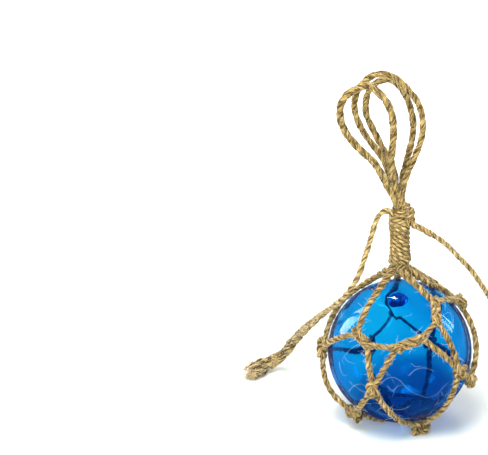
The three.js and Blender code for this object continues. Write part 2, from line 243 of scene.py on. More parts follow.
# %% [markdown]
# ## Loose fibres
# Jute is a hairy cord: pale fibres stand out of it all along, a few of them long and curled. They
# are what makes its edge soft. Hair particles are lost in an export, so each fibre is a thin tube
# with a triangular section, bent a little at each step, and thinner at its tip. It keeps clear of
# the glass and the table.

# %% Fibres that leave a cord
CLEAR_OF_GLASS = 0.12 * MM
FIBRE_STEPS = 5


def outside_ball(points, gap):
    """The points, with those nearer to the glass than the gap moved out to it."""
    away = points - BALL_CENTRE
    reach = np.linalg.norm(away, axis=1, keepdims=True)
    return BALL_CENTRE + away / reach * np.maximum(reach, BALL_RADIUS + gap)


def fibre_part(roots, outward, along, rng, lengths, width, curl=0.5):
    """The part of a fibre at each root, which leaves between outward and along the cord."""
    count = len(roots)
    sway = unit(rng.normal(size=(count, 3)))
    heading = unit(outward * rng.uniform(0.25, 1, (count, 1))
                   + along * rng.uniform(-1.2, 1.2, (count, 1)) + 0.35 * sway)
    places = [roots]
    for _ in range(FIBRE_STEPS):
        sway = unit(sway + 0.8 * rng.normal(size=(count, 3)))
        heading = unit(heading + curl * sway / FIBRE_STEPS * 2)
        step = heading * (lengths / FIBRE_STEPS)[:, None]
        place = outside_ball(places[-1] + step, CLEAR_OF_GLASS)
        place[:, 2] = np.maximum(place[:, 2], CLEAR_OF_GLASS)
        places.append(place)
    return tubes_part(np.stack(places, 1), width, rng)


def tubes_part(paths, width, rng):
    """The part of many thin tapered tubes, from paths, an array of tubes by places by 3."""
    count, steps = paths.shape[0], paths.shape[1] - 1
    along = unit(np.gradient(paths, axis=1))
    side = unit(np.cross(along, unit(rng.normal(size=(count, 1, 3)))))
    other = np.cross(along, side)
    taper = np.linspace(1, 0.35, steps + 1)[None, :, None] * width / 2
    rings = np.stack([
        paths + taper * (math.cos(a) * side + math.sin(a) * other)
        for a in (0, 2 * math.pi / 3, 4 * math.pi / 3)
    ], 2)
    starts = np.arange(count) * 3 * (steps + 1)
    faces = (wall_faces(steps + 1, 3)[2] + starts[:, None, None]).reshape(-1, 4)
    uvs = np.full((len(faces), 4, 2), 0.5)
    uvs[..., 1] = rng.uniform(0, 60, (len(faces), 1))
    return rings.reshape(-1, 3), faces, uvs


def fuzz_part(line, diameter, rng, per_mm=1.0, longest=4.5, width=0.15 * MM):
    """Fibres all along a cord's line. Most are short, and a few are long."""
    count = max(3, round(length_of(line) / MM * per_mm))
    at = rng.integers(0, len(line), count)
    side, other = directions_across(line)
    angle = rng.uniform(0, 2 * np.pi, count)[:, None]
    outward = np.cos(angle) * side[at] + np.sin(angle) * other[at]
    along = unit(np.gradient(line, axis=0))[at]
    lengths = (0.8 + longest * rng.uniform(0, 1, count) ** 2.5) * MM
    return fibre_part(line[at] + outward * diameter * 0.4, outward, along, rng, lengths, width)


# %% [markdown]
# ## The finish of jute
# Close up, jute is straw yellow to brown, in thin streaks that run along the fibres, with darker
# and paler lengths, and dull except for a little sheen. The pattern could be painted, but it has
# to follow every twist, so it reads the UV map: noise is drawn out along V for the streaks, and a
# broader one gives the darker lengths. Shade is painted too: where a ply turns in towards the
# other, the colour goes to a dark groove colour. One node group makes the colour, with this
# painted shade, and the height, and each kind of cord uses it with its own colours.

# %% Nodes and their links
def new_node(tree, kind, at, values=None, **settings):
    """A node at a place, with its settings and the values of its sockets."""
    node = tree.nodes.new(kind)
    node.location = at
    for name, value in settings.items():
        setattr(node, name, value)
    for socket, value in (values or {}).items():
        node.inputs[socket].default_value = value
    return node


def link_all(tree, links):
    """Links, each given as a node, its output, another node and its input."""
    for source, output, target, socket in links:
        tree.links.new(source.outputs[output], target.inputs[socket])


# %% The fibre pattern, as a node group
def streak(tree, uv, scale, detail, at):
    """Noise drawn out along V."""
    mapping = new_node(tree, "ShaderNodeMapping", at, {"Scale": scale})
    noise = new_node(tree, "ShaderNodeTexNoise", (at[0] + 200, at[1]),
                     {"Scale": 1.0, "Detail": detail, "Roughness": 0.6})
    link_all(tree, [(uv, "UV", mapping, "Vector"), (mapping, "Vector", noise, "Vector")])
    return noise


def make_fibre_group():
    """The colour and height of jute, with painted shade in the grooves, where U is far from 0.5."""
    tree = bpy.data.node_groups.new("jute_fibres", "ShaderNodeTree")
    for name, way, kind in (
        ("Groove shade", "INPUT", "Color"), ("Dark", "INPUT", "Color"), ("Middle", "INPUT", "Color"),
        ("Pale", "INPUT", "Color"), ("Patches", "INPUT", "Float"),
        ("Color", "OUTPUT", "Color"), ("Height", "OUTPUT", "Float"),
    ):
        tree.interface.new_socket(name, in_out=way, socket_type="NodeSocket" + kind)
    entry = new_node(tree, "NodeGroupInput", (-900, 0))
    leave = new_node(tree, "NodeGroupOutput", (900, 0))
    uv = new_node(tree, "ShaderNodeUVMap", (-900, -300), uv_map="along_cord")
    fine = streak(tree, uv, (7, 3.2, 1), 5, (-650, -200))
    broad = streak(tree, uv, (2.2, 1.6, 1), 2, (-650, -500))
    steep = new_node(tree, "ShaderNodeMapRange", (-200, -200), {"From Min": 0.42, "From Max": 0.57})
    wide = new_node(tree, "ShaderNodeMapRange", (-200, -500), {"From Min": 0.3, "From Max": 0.7})
    patch = new_node(tree, "ShaderNodeMath", (350, -300), operation="MULTIPLY")
    low, high, last, groove_shaded = (
        new_node(tree, "ShaderNodeMix", at, data_type="RGBA")
        for at in ((100, 200), (350, 100), (600, 0), (750, 0))
    )
    # Painted shade: where a ply turns in towards the other one, U is far from 0.5 and the colour
    # goes to the dark groove colour.
    round_ply = new_node(tree, "ShaderNodeSeparateXYZ", (-650, -800))
    from_outside = new_node(tree, "ShaderNodeMath", (-450, -800), {1: 0.5}, operation="SUBTRACT")
    turned_in = new_node(tree, "ShaderNodeMath", (-250, -800), operation="ABSOLUTE")
    groove = new_node(tree, "ShaderNodeMapRange", (-50, -800),
                      {"From Min": 0.22, "From Max": 0.42}, interpolation_type="SMOOTHSTEP")
    link_all(tree, [
        (fine, "Fac", steep, "Value"), (broad, "Fac", wide, "Value"),
        (steep, "Result", low, "Factor"), (entry, "Dark", low, "A"), (entry, "Middle", low, "B"),
        (wide, "Result", high, "Factor"), (low, "Result", high, "A"), (entry, "Pale", high, "B"),
        (entry, "Patches", patch, 0), (steep, "Result", patch, 1), (patch, "Value", last, "Factor"),
        (low, "Result", last, "A"), (high, "Result", last, "B"), (uv, "UV", round_ply, "Vector"),
        (round_ply, "X", from_outside, 0), (from_outside, "Value", turned_in, 0),
        (turned_in, "Value", groove, "Value"), (groove, "Result", groove_shaded, "Factor"),
        (last, "Result", groove_shaded, "A"), (entry, "Groove shade", groove_shaded, "B"),
        (groove_shaded, "Result", leave, "Color"), (steep, "Result", leave, "Height"),
    ])
    return tree


fibre_group = make_fibre_group()


# %% Materials of jute
# The colour of the painted shade in the grooves where the plies meet.
GROOVE_SHADE = (0.07, 0.042, 0.012)
PATCHES = 0.9  # how strongly the paler lengths show


def new_material(name, values):
    """A material, its tree and its shader, with the values of the shader's sockets."""
    material = bpy.data.materials.new(name)
    material.use_nodes = True
    shader = material.node_tree.nodes["Principled BSDF"]
    for socket, value in values.items():
        shader.inputs[socket].default_value = value
    return material, material.node_tree, shader


def make_jute(name, dark, middle, pale):
    material, tree, shader = new_material(name, {
        "Roughness": 0.82, "Sheen Weight": 0.25, "Sheen Roughness": 0.4,
        "Sheen Tint": (1, 0.9, 0.68, 1), "Specular IOR Level": 0.25,
    })
    fibres = new_node(tree, "ShaderNodeGroup", (-500, 100), node_tree=fibre_group)
    for socket, colour in (("Groove shade", GROOVE_SHADE), ("Dark", dark), ("Middle", middle), ("Pale", pale)):
        fibres.inputs[socket].default_value = (*colour, 1)
    fibres.inputs["Patches"].default_value = PATCHES
    bump = new_node(tree, "ShaderNodeBump", (-250, -250), {"Strength": 0.8, "Distance": 0.22 * MM})
    link_all(tree, [(fibres, "Color", shader, "Base Color"), (fibres, "Height", bump, "Height"),
                    (bump, "Normal", shader, "Normal")])
    return material


net_jute = make_jute(
    "net_jute", (0.09, 0.053, 0.013), (0.41, 0.265, 0.078), (0.82, 0.60, 0.245))
winding_jute = make_jute(
    "winding_jute", (0.11, 0.065, 0.016), (0.42, 0.28, 0.085), (0.80, 0.60, 0.26))
loop_jute = make_jute(
    "loop_jute", (0.075, 0.045, 0.011), (0.31, 0.205, 0.055), (0.68, 0.49, 0.185))
tail_jute = make_jute("tail_jute", (0.13, 0.08, 0.023), (0.48, 0.33, 0.11), (0.95, 0.74, 0.35))
# The frayed end has a paler copy of the tail's jute. This is painted light that lifts the shade its
# loose yarns cast on each other.
lit_end_jute = make_jute("lit_end_jute", (0.22, 0.145, 0.05), (0.60, 0.43, 0.17), (1.0, 0.82, 0.42))
fibre_pale = new_material("loose_fibre", {"Base Color": (0.88, 0.73, 0.46, 1), "Roughness": 0.6})[0]
print("jute materials:", [m.name for m in bpy.data.materials if "jute" in m.name])

# %% [markdown]
# ## The hanging loops
# The cords that come up out of the winding make three loops, which stand by their own stiffness.
# Each one is a free cord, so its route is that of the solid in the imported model. It leaves the
# winding with one leg and goes back into it with the other. The twine is looser here than in the
# net, and thicker.

# %% Routes of the loops, from the middle of the neck's top
NECK_TOP = np.array([-2.407, 0, 121.127])  # mm
LOOP_DIAMETER = 3.1 * MM
LOOP_SIGHT = {"hanging_loop_front": 4.0 * MM, "hanging_loop_middle": 3.5 * MM,
              "hanging_loop_back": 3.6 * MM}  # with the soft outer fibres
LOOP_ROUTES = {
    "hanging_loop_front": [
        (-1.6, -3.3, 0), (-1.7, -3.3, 2.2), (-3.6, -3.5, 6.6), (-6.8, -4.2, 12), (-9.6, -5.2, 18),
        (-14, -6.6, 25), (-20.8, -8.6, 32), (-27, -10.6, 39.6), (-30.5, -12.2, 47.4),
        (-30.9, -13, 55.2), (-28.3, -13.2, 60.6), (-22.8, -12.8, 64.6), (-17.2, -12, 66),
        (-13, -11, 63), (-8.6, -10, 58.2), (-5.4, -9, 51), (-4.2, -7.8, 41.6), (-4.6, -6.6, 32.4),
        (-5, -5.4, 24), (-3.6, -4.2, 15), (-0.6, -3.6, 7.8), (1.4, -3.3, 2.2), (1.5, -3.3, 0),
    ],
    "hanging_loop_middle": [
        (-1.6, 0, 0), (-1.7, 0, 2.2), (-3.2, 0, 7), (-4.8, 0, 13), (-7, 0, 20), (-10.4, 0, 26.6),
        (-15, 0, 32.6), (-20.4, 0, 40.4), (-23.4, -0.3, 47.4), (-24.4, -0.6, 54.2),
        (-22.8, -0.8, 60.4), (-19, -1, 66), (-13.6, -1, 69.2), (-7.6, -0.9, 69.2),
        (-2.4, -0.7, 66.2), (3.2, -0.4, 60.8), (7.8, 0, 54.4), (10.3, 0, 45.6), (10, 0, 36.2),
        (7, 0, 26.6), (3.5, 0, 17.4), (1.4, 0, 9), (1.2, 0, 2.2), (1.5, 0, 0),
    ],
    "hanging_loop_back": [
        (-1.6, 3.3, 0), (-1.7, 3.3, 2.2), (-2.3, 3.5, 7), (-2.6, 4.2, 13.6), (-4, 5, 19),
        (-8, 6, 26), (-11.4, 7, 32), (-15.8, 8, 40), (-18.6, 9, 46.6), (-18.6, 10, 54),
        (-16.4, 10.4, 59.6), (-12.2, 10, 63.2), (-7.6, 9.4, 64.2), (-3, 8.8, 62),
        (1.4, 8.2, 56.4), (4.3, 7.6, 48.6), (5.7, 7, 41.6), (5, 6.4, 32.2), (3.2, 5.4, 24),
        (1.3, 4.4, 15), (1, 3.6, 7), (1.2, 3.3, 2.2), (1.5, 3.3, 0),
    ],
}

# %% The loops
CORD_STEP = 0.7 * MM
rng = np.random.default_rng(3)
free_fuzz, net_fuzz = [], []
for name, route in LOOP_ROUTES.items():
    line = smooth_line((np.array(route) + NECK_TOP) * MM, CORD_STEP)
    plies = laid_cord(line, LOOP_SIGHT[name], rng, lay=4.0, opened=0.85)
    loop = piece_from(name + "_cord", plies, loop_jute)
    free_fuzz.append(fuzz_part(line, LOOP_DIAMETER, rng, per_mm=2.4))
    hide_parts(name)
    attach(loop, "root")
    print(f"{name}: {length_of(line) / MM:.0f} mm")

# %% [markdown]
# ## The tails
# The two ends of the winding's own cord hang free. The left one falls against the net and lies
# down behind the ball. Its twist has opened on the way: from there on it is a bundle of loose
# yarns, each drawn as a tube of its own, and they spread into a thick frayed end. The right one
# bends down to the table and ends in an overhand knot with a short tuft.

# %% Routes of the tails, on the table's frame
TAIL_DIAMETER = 2.7 * MM
LEFT_TAIL_ROUTE = [
    (-7.4, -2, 118.9), (-10, -3, 118.9), (-12.9, -4.4, 116.8), (-14.6, -6.2, 113),
    (-16, -8.4, 108), (-18, -11.4, 101), (-20, -14, 94.6), (-21.6, -15.6, 89.4),
    (-24.2, -16.4, 84), (-27, -16, 79), (-29.8, -14, 74.6), (-33.4, -9, 69.4),
    (-39.6, 0.4, 60.6), (-46, 14, 50), (-52.8, 28, 38.2), (-59.4, 42.6, 25.4), (-63.8, 51.7, 16),
    (-67, 55.6, 11), (-69.7, 57.4, 7.6), (-72.3, 58, 5.4), (-75.1, 56.6, 4.2),
    (-77.4, 54.4, 3.8), (-78.6, 52.4, 3.8),
]
RIGHT_TAIL_ROUTE = [
    (4.3, -1, 111), (7.2, -1.5, 110.2), (11.2, -2, 108.6), (15.5, -3, 106.6), (21.9, -4, 102.4),
    (28.4, -5, 96.4), (34.9, -6, 89.8), (41.5, -7, 81.2), (47.4, -7.8, 72), (53, -8.6, 61),
    (58.2, -9.4, 49), (63, -10, 36.4), (67.4, -10.2, 24), (71.6, -9.8, 13), (76.2, -8.6, 5.2),
    (82, -6.6, 1.8), (88, -4.4, 1.6),
]
left_line = smooth_line(np.array(LEFT_TAIL_ROUTE) * MM, CORD_STEP)
right_line = smooth_line(np.array(RIGHT_TAIL_ROUTE) * MM, CORD_STEP)
for name, line in (("left", left_line), ("right", right_line)):
    print(f"{name} tail: {length_of(line) / MM:.0f} mm")


# %% A tuft of fibres
def tuft_part(root, along, rng, count, length, spread, width=0.11 * MM, curl=0.35):
    """Fibres that leave an end in a brush."""
    heading = unit(np.array(along, float))
    outward = unit(rng.normal(size=(count, 3)))
    start = root + outward * rng.uniform(0, spread, (count, 1)) * 0.6
    lengths = length * rng.uniform(0.55, 1.05, count)
    steer = unit(heading + outward * rng.uniform(0, 0.75, (count, 1)))
    return fibre_part(start, steer, np.tile(heading, (count, 1)), rng, lengths, width, curl=curl)


# %% The left tail, laid at first and then open
OPENS_AT = 0.42  # of its length
LAID_OVERLAP = 12  # places that the laid part goes on into the open one
YARN_DIAMETER = 2.1 * MM
OUTER_YARNS, CORE_YARNS = 8, 4
rng = np.random.default_rng(11)
opens = round(OPENS_AT * len(left_line))
left_parts = laid_cord(left_line[:opens + LAID_OVERLAP], TAIL_DIAMETER * 1.05, rng, lay=3.8,
                       loose=1.3)
open_line = left_line[opens:]
open_share = np.linspace(0, 1, len(open_line))
along_open = unit(np.gradient(open_line, axis=0))
broad_way = unit(np.cross(along_open, towards_ball))
deep_way = np.cross(along_open, broad_way)
grown = np.clip(open_share * 1.25, 0, 1)
half_width = (0.6 + 1.8 * grown**0.9) * MM
half_depth = (0.6 + 0.9 * grown) * MM
for yarn in range(OUTER_YARNS + CORE_YARNS):
    turned = 2 * np.pi * (yarn / OUTER_YARNS + 0.9 * open_share)
    turned += 0.4 * wander(rng, open_share, 0.5)
    reach_out = 1 if yarn < OUTER_YARNS else 0.4
    offset = reach_out * (np.cos(turned) * half_width)[:, None] * broad_way
    offset += (np.sin(turned) * half_depth)[:, None] * deep_way
    yarn_line = open_line + offset
    yarn_line[:, 2] = np.maximum(yarn_line[:, 2], 1.0 * MM)
    left_parts += laid_cord(yarn_line, YARN_DIAMETER, rng, lay=6.5, plies=1, opened=0.7, loose=1.6)
left_tail = piece_from("left_tail_cord", left_parts, tail_jute)
free_fuzz.append(fuzz_part(left_line[:opens], TAIL_DIAMETER, rng, per_mm=2.4))
free_fuzz.append(fuzz_part(open_line, 1.7 * TAIL_DIAMETER, rng, per_mm=2.5, longest=7))
free_fuzz.append(
    fuzz_part(open_line, 2 * TAIL_DIAMETER, rng, per_mm=0.7, longest=9, width=0.24 * MM))

# %% The frayed end
FINE_STEP = 0.6 * MM
UP = np.array([0, 0, 1.0])
FRAYED_YARNS, FRAYED_DIAMETER = 18, 2.3 * MM
left_heading = unit((left_line[-1] - left_line[-4]) * [1, 1, 0])
end_side = np.array([-left_heading[1], left_heading[0], 0])
line_by_mm = even_line(left_line, 1.0 * MM)
frayed = []
for turn_at in np.linspace(0, 2 * np.pi, FRAYED_YARNS, endpoint=False):
    middle_out = rng.uniform(0.15, 1)
    way = math.cos(turn_at) * end_side + (0.1 + math.sin(turn_at)) * UP
    reach = rng.uniform(0.6, 0.95)
    points = [line_by_mm[-1 - back] + way * out * middle_out * MM
              for out, back in ((1.3, 19), (2.7, 12), (3.9, 5))]
    points += [left_line[-1] + (left_heading * far * reach + way * out * middle_out) * MM
               for out, far in ((4.6, 3), (4.7, 8), (3.9, 12))]
    path = smooth_line(points, FINE_STEP)
    path[:, 2] = np.maximum(path[:, 2], 0.8 * MM)
    leaves = path[-1] - path[-4]
    frayed += laid_cord(path, FRAYED_DIAMETER, rng, lay=4, plies=1, loose=1.8)
    frayed.append(tuft_part(path[-1], leaves, rng, 12, 3.4 * MM, 1.2 * MM, 0.3 * MM, 0.7))
    free_fuzz.append(tuft_part(path[-1], leaves, rng, 14, 3.8 * MM, 1.5 * MM, 0.24 * MM, 0.9))
    free_fuzz.append(fuzz_part(path, 1.7 * MM, rng, per_mm=1.6, longest=3, width=0.22 * MM))
left_end = piece_from("left_tail_frayed_end", frayed, lit_end_jute)

# %% The right tail and its knot
right_tail = piece_from("right_tail_cord", laid_cord(right_line, TAIL_DIAMETER, rng), tail_jute)
free_fuzz.append(fuzz_part(right_line, TAIL_DIAMETER, rng, per_mm=2.2))


def overhand_line(place, across, along, outward, size):
    """The closed line of a tight overhand knot that fills a size across, along and outward."""
    t = np.linspace(0, 2 * np.pi, 73)
    x = (np.sin(t) + 2 * np.sin(2 * t)) / 2.8 * size[0] / 2
    y = (np.cos(t) - 2 * np.cos(2 * t)) / 2.9 * size[1] / 2
    z = -np.sin(3 * t) * size[2] / 2
    line = place + np.outer(x, across) + np.outer(y, along) + np.outer(z, outward)
    return even_line(line, FINE_STEP)


tail_heading = unit((right_line[-1] - right_line[-4]) * [1, 1, 0])
tail_side = np.array([-tail_heading[1], tail_heading[0], 0])
tied_at = right_line[-1] * [1, 1, 0] + tail_heading * 3.6 * MM + UP * 3.3 * MM
knot_cord = TAIL_DIAMETER * 0.9
knot_size = np.array([6.6, 6.6, 6.4]) * MM - knot_cord
end_parts = laid_cord(
    overhand_line(tied_at, tail_side, tail_heading, UP, knot_size), knot_cord, rng)
stub_end = tied_at + tail_heading * 6 * MM - UP * 1.2 * MM
stub = smooth_line([right_line[-1], tied_at, stub_end], FINE_STEP)
end_parts += laid_cord(stub, TAIL_DIAMETER, rng)
end_parts.append(tuft_part(stub[-1], tail_heading, rng, 60, 4 * MM, 1.4 * MM))
right_end = piece_from("right_tail_end_knot", end_parts, tail_jute)

# %% The tails in place of the imported ones
for piece, node in ((left_end, "left_tail_end"), (right_end, "right_tail_knot"),
                    (left_tail, "left_tail"), (right_tail, "right_tail")):
    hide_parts(node)
    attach(piece, "root")

# %% [markdown]
# ## The glass
# The ball was blown, so it is hollow, with a wall of a few millimetres, and the place where it
# left the pipe is closed with a lump of glass, which shows as a bright knob high on its front. A
# solid ball of glass would turn the view upside down like a lens, while a hollow one shows what
# is behind it in its place. So the wall is real here: a sphere gets its second surface from a
# Solidify modifier. The wall of hand-blown glass isn't even: the points of the inner surface are
# moved to make it thin above, wavy all over and much thicker at the bottom, where the picture
# shows a deeper blue.

# %% A sphere with a wall
GLASS_WALL = 2.1 * MM
SEAL_AZIMUTH, SEAL_LATITUDE = -5, 66  # of the lump, in degrees: in front, near the top


def on_ball(azimuth, latitude, distance):
    """The place at an azimuth, 0 in front and growing to the right, a latitude and a distance."""
    a, l = math.radians(azimuth), math.radians(latitude)
    way = np.array([math.cos(l) * math.sin(a), -math.cos(l) * math.cos(a), math.sin(l)])
    return BALL_CENTRE + way * distance


def settle(name, turned=(0, 0, 0), size=(1, 1, 1)):
    """The primitive just added, with a name, and with its place, turn and size in its mesh."""
    piece = bpy.context.active_object
    piece.name = piece.data.name = name
    piece.rotation_euler, piece.scale = turned, size
    bpy.ops.object.transform_apply(location=True, rotation=True, scale=True)
    return piece


seal_way = unit(on_ball(SEAL_AZIMUTH, SEAL_LATITUDE, 1.0) - BALL_CENTRE)
bpy.ops.mesh.primitive_uv_sphere_add(segments=180, ring_count=130, radius=BALL_RADIUS,
                                     location=BALL_CENTRE)
glass = settle("blown_glass", Vector(seal_way).to_track_quat("Z", "Y").to_euler())
wall = glass.modifiers.new("wall", "SOLIDIFY")
wall.thickness = GLASS_WALL
wall.offset = -1
bpy.ops.object.modifier_apply(modifier=wall.name)
bpy.ops.object.shade_smooth()

# %% The seal lump and the uneven wall
THIN_WAY, THICK_WAY = unit(np.array([-0.2, -0.1, 0.9])), unit(np.array([0.2, 0.35, -0.9]))
WALL_PATCHES = [  # the way to it, how much thinner in mm, its radius in mm, how steep its edge is
    ((-0.33, -0.58, 0.74), 0.25, 15, 4),
    ((-0.33, -0.61, 0.72), 0.65, 10.5, 10),
    ((0.36, -0.42, 0.83), -0.9, 12, 4),
    (seal_way, -0.8, 6.5, 2),
]


def patch_on(way, towards, radius, steep):
    """1 at a place of the ball, and 0 farther from it than about a radius, in mm."""
    off = np.arccos(np.clip(way @ unit(np.array(towards, float)), -1, 1)) * BALL_RADIUS / MM
    return np.exp(-((off / radius) ** steep))


points = np.array([v.co for v in glass.data.vertices])
away = points - BALL_CENTRE
reach = np.linalg.norm(away, axis=1)
way = away / reach[:, None]
inner = reach < BALL_RADIUS - GLASS_WALL / 2
waves = (np.sin(way @ [5, 3, 9] * 1.3 + 1) + np.sin(way @ [-8, 6, 4] * 1.1 + 2) * 0.7
         + np.sin(way @ [13, -9, 7] + 4) * 0.4)
bottom = np.clip((way @ THICK_WAY - 0.66) / 0.24, 0, 1)
thinner = 0.14 * waves + 0.75 * way @ THIN_WAY - 4.2 * bottom**2 * (3 - 2 * bottom)
for towards, change, radius, steep in WALL_PATCHES:
    thinner += change * patch_on(way, towards, radius, steep)
lump = 0.9 * patch_on(way, seal_way, 5.0, 2)
reach += np.where(inner, thinner, lump) * MM
glass.data.vertices.foreach_set("co", (BALL_CENTRE + way * reach[:, None]).ravel())
glass.data.update()
print(f"glass: wall {GLASS_WALL / MM:.1f} mm, {len(glass.data.polygons)} faces")

# %% [markdown]
# Clear blue glass is one plain shader: full transmission, no roughness, and an index of
# refraction below the real 1.5, as its reflections look weak. Its colour could come from the
# depth of the glass or from its surface. Depth alone would make the rim black, and the surface
# alone would make thick and thin places look the same. So the colour is shared: the surface gives
# a part of it, and a volume that absorbs red and green the rest. Cords seen through blue glass
# look navy and not black, because light goes to and fro in its wall. A very weak blue emission
# stands for that light.

# %% Blue glass
blue_glass, tree, _ = new_material("blue_glass", {
    "Base Color": (0.13, 0.70, 0.83, 1), "Roughness": 0.0, "IOR": 1.3, "Transmission Weight": 1.0,
    "Specular Tint": (0.35, 0.6, 1, 1), "Emission Color": (0, 0.16, 1, 1),
    "Emission Strength": 0.03,
})
depth_tint = new_node(tree, "ShaderNodeVolumeAbsorption", (0, -400),
                      {"Color": (0.014, 0.737, 0.91, 1), "Density": 700})
link_all(tree, [(depth_tint, "Volume", tree.nodes["Material Output"], "Volume")])
glass.data.materials.append(blue_glass)

# %% The drop inside the seal
# The lump's inner part is a thick flattened drop, which hangs in the ball behind the lump.
DROP_SIZE = (4.7 * MM, 3.7 * MM, 1.9 * MM)
DROP_BEHIND = 6.6 * MM
drop_way = seal_way * BALL_RADIUS + towards_ball * DROP_BEHIND
bpy.ops.mesh.primitive_uv_sphere_add(segments=48, ring_count=24, radius=1,
                                     location=BALL_CENTRE + drop_way)
drop = settle("seal_drop", Vector(drop_way).to_track_quat("Z", "Y").to_euler(), DROP_SIZE)
bpy.ops.object.shade_smooth()
deep_glass = blue_glass.copy()
deep_glass.name = "deep_blue_glass"
deep_shader = deep_glass.node_tree.nodes["Principled BSDF"]
deep_shader.inputs["Base Color"].default_value = (0.12, 0.46, 0.80, 1)
drop.data.materials.append(deep_glass)
for piece in (glass, drop):
    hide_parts("glass_ball")
    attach(piece, "root")

# %% [markdown]
# ## The net
# The net is tied from one long twine: each mesh is closed with a knot round its neighbours'
# cords. The table below gives each knot's place on the ball, the way that it lies and its size,
# and then the cords from knot to knot. A slim knot is a half hitch along two cords, and a full
# one is an overhand knot.

# %% Knots and cords of the net
NET_DIAMETER = 2.8 * MM
NET_SIGHT = 3.0 * MM  # with the soft outer fibres, which the solid leaves out
GLASS_GAP = 0.3 * MM
CORD_LIES = BALL_RADIUS + GLASS_GAP + NET_DIAMETER / 2  # from the ball's middle
SLIM, FULL, FOOT = (5.2, 8.5, 4.2), (7.0, 9.0, 5.4), (7.4, 9.6, 7.4)  # mm across, along, outward
KNOTS = {  # azimuth and latitude in degrees, how it is turned, size
    "shoulder_left": ((-39.5, 29.5), 40, SLIM),
    "shoulder_left_low": ((-26.5, 24), 55, SLIM),
    "brow_left": ((-3, 24), 80, SLIM),
    "brow_right": ((19, 31), 95, SLIM),
    "shoulder_right_high": ((52, 56.5), -30, SLIM),
    "shoulder_right": ((39, 42.5), -30, SLIM),
    "side_right": ((106, 38), 60, (8.2, 10.4, 6.0)),
    "side_left": ((-87, 0), 5, (7.2, 12.0, 5.6)),
    "front": ((-19, -9), 12, FULL),
    "cheek_right": ((49.5, 2), 40, (7.8, 9.8, 5.8)),
    "cheek_right_outer": ((73, -15), 45, FULL),
    "shoulder_back": ((148, 36), 30, SLIM),
    "back_high": ((-175, 10), 0, FULL),
    "back_right": ((154, -15), 20, FULL),
    "back_left": ((-154, -22), 0, FULL),
    "foot_front": ((39.5, -62), 80, (7.8, 12.2, 7.4)),
    "side_low_left": ((-58, -49), 75, (8.4, 11.2, 6.2)),
    "foot_right": ((125, -62), 85, FOOT),
    "foot_left": ((-145, -62), 95, FOOT),
}
NECK_CORDS = [  # start round the neck, knot, how far the middle stands off, places passed
    (-75, "shoulder_left", 0, [(-46, 59)]),
    (0, "shoulder_right_high", 0, []),
    (60, "side_right", 1, []),
    (112, "shoulder_back", 0.6, [(124, 58)]),
    (185, "back_high", 0, []),
    (240, "side_left", 0.4, [(-122, 58), (-104, 38)]),
]
CORDS = [  # knot, knot, how far the middle stands off the glass in mm
    ("shoulder_left", "side_left", 0.4),
    ("shoulder_left_low", "front", 0),
    ("shoulder_left_low", "brow_left", 0),
    ("brow_left", "front", 0),
    ("brow_right", "shoulder_right", 0),
    ("brow_right", "cheek_right", 0),
    ("shoulder_right", "cheek_right", 0),
    ("shoulder_right_high", "side_right", 0.6),
    ("side_right", "cheek_right_outer", 0.8),
    ("side_right", "shoulder_back", 0),
    ("cheek_right", "cheek_right_outer", 0),
    ("front", "side_low_left", 0),
    ("front", "foot_front", 0),
    ("cheek_right", "foot_front", 0),
    ("side_left", "side_low_left", 2.6),
    ("side_left", "back_left", 0),
    ("back_high", "back_right", 0),
    ("back_high", "back_left", 0),
    ("shoulder_back", "back_right", 0),
    ("back_right", "cheek_right_outer", 0),
    ("back_right", "foot_right", 0),
    ("back_left", "foot_left", 0),
    ("side_low_left", "foot_left", 0),
    ("foot_front", "foot_right", 0),
    ("foot_right", "foot_left", 0),
]
DOUBLED = [
    ("shoulder_left", "shoulder_left_low"),
    ("brow_left", "brow_right"),
    ("shoulder_right_high", "shoulder_right"),
]
CLOSING = ["foot_front", "side_low_left", "foot_right", "foot_left"]
NECK_SHIFT, NECK_BOTTOM = -1.2 * MM, 89.5 * MM
NECK_BUNDLE = 3.1 * MM
NECK_SWELL, NECK_SWELL_REACH = 0.4, 22  # the cords are thicker there, over so many mm
DOUBLED_APART = 1.15 * MM  # from the middle between the two cords


# %% A cord drawn tight over the glass
def over_glass(start, end, off=0.0, radius=NET_DIAMETER / 2):
    """The line of a cord from place to place, which lies on the glass where it meets it."""
    lie = BALL_RADIUS + GLASS_GAP + radius
    steps = max(6, round(np.linalg.norm(end - start) / (3 * MM)))
    t = np.linspace(0, 1, steps + 1)[:, None]
    away = start + (end - start) * t - BALL_CENTRE
    reach = np.linalg.norm(away, axis=1, keepdims=True)
    return BALL_CENTRE + away / reach * (np.maximum(reach, lie) + off * MM * np.sin(np.pi * t))


def knot_place(name):
    return on_ball(*KNOTS[name][0], CORD_LIES)


def neck_place(azimuth, above):
    a = math.radians(azimuth)
    return np.array([NECK_SHIFT + math.sin(a) * NECK_BUNDLE, -math.cos(a) * NECK_BUNDLE,
                     NECK_BOTTOM + above])


